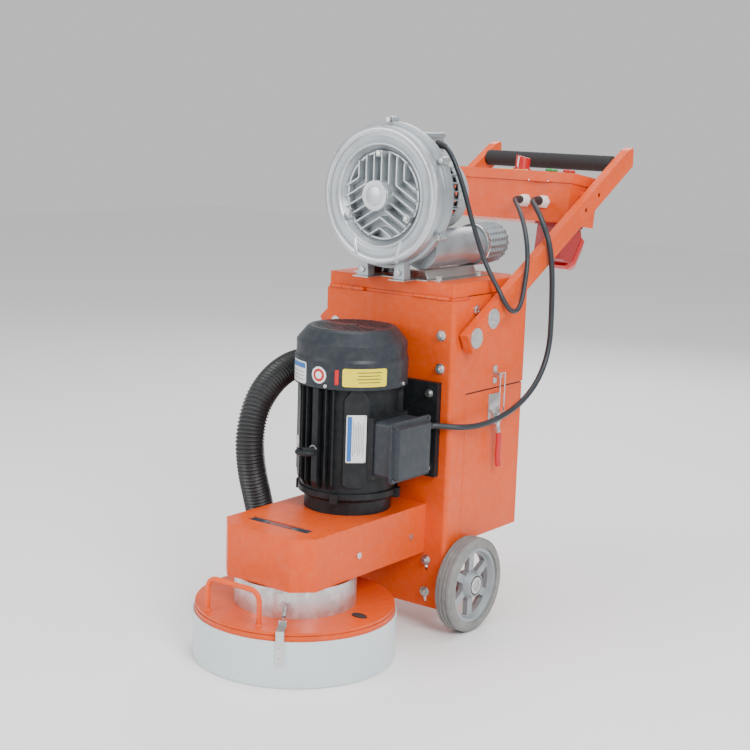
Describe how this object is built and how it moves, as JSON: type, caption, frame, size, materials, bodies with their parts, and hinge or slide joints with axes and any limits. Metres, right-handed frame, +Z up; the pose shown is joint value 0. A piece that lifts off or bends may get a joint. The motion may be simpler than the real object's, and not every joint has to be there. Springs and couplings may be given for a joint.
{
  "type": "concrete floor grinder",
  "caption": "Walk-behind concrete floor grinder with an electric motor, a belt-driven disc in a dust cover, and a side-channel blower on a dust tank.",
  "frame": {"origin": "on the floor, under the centre of the machine's overall length and width", "axes": "+Z up, +Y from the grinding head towards the operator, +X to the right seen from the front with the head nearest"},
  "size_m": [0.419, 1.163, 1.0607],
  "materials": {
    "shroud_cover": "satin",
    "lift_handle": "satin",
    "belt_box": "satin",
    "chassis": "satin",
    "filter_housing": "satin",
    "dust_bin": "satin",
    "tank_lid": "satin",
    "handle_bars": "satin",
    "control_box": "satin",
    "control_lid": "satin",
    "motor_mount": "satin",
    "splash_skirt": "translucent",
    "skirt_strips": "zinc plated",
    "skirt_springs": "bright",
    "neck_tube": "galvanised",
    "spindle_bearings": "ground",
    "spindle_shaft": "machined",
    "grinding_disc": "machined",
    "diamond_segments": "sintered",
    "drive_belts": "matte",
    "motor_frame": "satin",
    "motor_flange": "satin",
    "motor_fan_cowl": "satin",
    "motor_terminal_box": "satin",
    "motor_rotor": "machined",
    "axle": "zinc plated",
    "tyre_left": "matte",
    "tyre_right": "matte",
    "wheel_hub_left": "cast",
    "wheel_hub_right": "cast",
    "filter_cartridge": "pleated",
    "lid_hinges": "satin",
    "latch_hooks": "zinc plated",
    "latch_bases": "zinc plated",
    "latch_lever_left": "zinc plated",
    "latch_lever_right": "zinc plated",
    "latch_loop_left": "bright",
    "latch_loop_right": "bright",
    "blower_front_housing": "die cast",
    "blower_guard": "die cast",
    "blower_rear_housing": "die cast",
    "blower_impeller": "cast",
    "blower_motor_frame": "die cast",
    "blower_terminal_box": "die cast",
    "blower_fan_cowl": "matte",
    "blower_bracket": "zinc plated",
    "blower_pipes": "die cast",
    "muffler": "wire cloth",
    "foam_grip": "foam",
    "switch_knob": "gloss",
    "start_button": "gloss",
    "stop_button": "gloss",
    "cable_glands": "satin",
    "inlet_socket": "satin",
    "inlet_flap": "satin",
    "machine_bolts": "zinc plated",
    "blower_bolts": "zinc plated",
    "motor_cable": "matte",
    "blower_cable": "matte",
    "dust_hose": "corrugated"
  },
  "bodies": {
    "root": {"shroud_cover": "shroud_cover", "lift_handle": "lift_handle", "belt_box": "belt_box", "chassis": "chassis", "filter_housing": "filter_housing", "handle_bars": "handle_bars", "control_box": "control_box", "motor_mount": "motor_mount", "skirt_springs": "skirt_springs", "neck_tube": "neck_tube", "spindle_bearings": "spindle_bearings", "drive_belts": "drive_belts", "motor_frame": "motor_frame", "motor_flange": "motor_flange", "motor_fan_cowl": "motor_fan_cowl", "motor_terminal_box": "motor_terminal_box", "axle": "axle", "filter_cartridge": "filter_cartridge", "lid_hinges": "lid_hinges", "latch_hooks": "latch_hooks", "foam_grip": "foam_grip", "cable_glands": "cable_glands", "inlet_socket": "inlet_socket", "machine_bolts": "machine_bolts", "motor_cable": "motor_cable", "blower_cable": "blower_cable", "dust_hose": "dust_hose"},
    "spindle": {"spindle_shaft": "spindle_shaft", "grinding_disc": "grinding_disc", "diamond_segments": "diamond_segments"},
    "motor_rotor": {"motor_rotor": "motor_rotor"},
    "wheel_left": {"wheel_hub_left": "wheel_hub_left", "tyre_left": "tyre_left"},
    "wheel_right": {"wheel_hub_right": "wheel_hub_right", "tyre_right": "tyre_right"},
    "skirt": {"splash_skirt": "splash_skirt", "skirt_strips": "skirt_strips"},
    "lid": {"tank_lid": "tank_lid", "blower_front_housing": "blower_front_housing", "blower_guard": "blower_guard", "blower_rear_housing": "blower_rear_housing", "blower_motor_frame": "blower_motor_frame", "blower_terminal_box": "blower_terminal_box", "blower_fan_cowl": "blower_fan_cowl", "blower_bracket": "blower_bracket", "blower_pipes": "blower_pipes", "muffler": "muffler", "blower_bolts": "blower_bolts"},
    "blower_rotor": {"blower_impeller": "blower_impeller"},
    "bin": {"dust_bin": "dust_bin", "latch_bases": "latch_bases"},
    "latch_lever_left": {"latch_lever_left": "latch_lever_left"},
    "latch_lever_right": {"latch_lever_right": "latch_lever_right"},
    "latch_loop_left": {"latch_loop_left": "latch_loop_left"},
    "latch_loop_right": {"latch_loop_right": "latch_loop_right"},
    "control_lid": {"control_lid": "control_lid"},
    "switch_knob": {"switch_knob": "switch_knob"},
    "start_button": {"start_button": "start_button"},
    "stop_button": {"stop_button": "stop_button"},
    "inlet_flap": {"inlet_flap": "inlet_flap"}
  },
  "joints": [
    {"name": "disc_spin", "type": "hinge", "parent": "root", "child": "spindle", "pos_m": [0, -0.3785, 0], "axis": [0, 0, 1], "continuous": true},
    {"name": "motor_rotor_spin", "type": "hinge", "parent": "root", "child": "motor_rotor", "pos_m": [0, -0.2185, 0], "axis": [0, 0, 1], "continuous": true},
    {"name": "wheel_left_spin", "type": "hinge", "parent": "root", "child": "wheel_left", "pos_m": [-0.189, -0.0395, 0.1], "axis": [1, 0, 0], "continuous": true},
    {"name": "wheel_right_spin", "type": "hinge", "parent": "root", "child": "wheel_right", "pos_m": [0.189, -0.0395, 0.1], "axis": [1, 0, 0], "continuous": true},
    {"name": "skirt_float", "type": "slide", "parent": "root", "child": "skirt", "axis": [0, 0, 1], "range_m": [0, 0.015], "deforming": ["skirt_springs"]},
    {"name": "lid_hinge", "type": "hinge", "parent": "root", "child": "lid", "pos_m": [0, -0.0995, 0.7013], "axis": [1, 0, 0], "range_deg": [0, 60], "deforming": ["blower_cable"]},
    {"name": "blower_rotor_spin", "type": "hinge", "parent": "lid", "child": "blower_rotor", "pos_m": [0, -0.0885, 0.9017], "axis": [0, 1, 0], "continuous": true},
    {"name": "bin_slide", "type": "slide", "parent": "root", "child": "bin", "axis": [0, 1, 0], "range_m": [0, 0.25]},
    {"name": "latch_lever_left_swing", "type": "hinge", "parent": "bin", "child": "latch_lever_left", "pos_m": [-0.172, 0.0615, 0.44], "axis": [0, 1, 0], "range_deg": [0, 72]},
    {"name": "latch_loop_left_swing", "type": "hinge", "parent": "latch_lever_left", "child": "latch_loop_left", "pos_m": [-0.178, 0.0615, 0.428], "axis": [0, 1, 0], "range_deg": [-72, 0]},
    {"name": "latch_lever_right_swing", "type": "hinge", "parent": "bin", "child": "latch_lever_right", "pos_m": [0.172, 0.0615, 0.44], "axis": [0, -1, 0], "range_deg": [0, 72]},
    {"name": "latch_loop_right_swing", "type": "hinge", "parent": "latch_lever_right", "child": "latch_loop_right", "pos_m": [0.178, 0.0615, 0.428], "axis": [0, -1, 0], "range_deg": [-72, 0]},
    {"name": "control_lid_hinge", "type": "hinge", "parent": "root", "child": "control_lid", "pos_m": [0, 0.35636, 0.92476], "axis": [1, 0, 0], "range_deg": [0, 100]},
    {"name": "switch_turn", "type": "hinge", "parent": "control_lid", "child": "switch_knob", "pos_m": [-0.01, 0.41855, 0.93976], "axis": [0, 0.1392, 0.9903], "range_deg": [0, 90]},
    {"name": "start_press", "type": "slide", "parent": "control_lid", "child": "start_button", "axis": [0, -0.1392, -0.9903], "range_m": [0, 0.004], "stiffness_N_per_m": 600, "springref_m": -0.002},
    {"name": "stop_press", "type": "slide", "parent": "control_lid", "child": "stop_button", "axis": [0, -0.1392, -0.9903], "range_m": [0, 0.004], "stiffness_N_per_m": 600, "springref_m": -0.002},
    {"name": "inlet_flap_hinge", "type": "hinge", "parent": "root", "child": "inlet_flap", "pos_m": [0.098, 0.46869, 0.79716], "axis": [1, 0, 0], "range_deg": [0, 70], "stiffness_Nm_per_rad": 0.08, "springref_deg": -51.57}
  ],
  "couplings": [
    {"joint": "motor_rotor_spin", "follows": "disc_spin", "ratio": 1.3333},
    {"joint": "latch_loop_left_swing", "follows": "latch_lever_left_swing", "ratio": -1},
    {"joint": "latch_loop_right_swing", "follows": "latch_lever_right_swing", "ratio": -1}
  ]
}
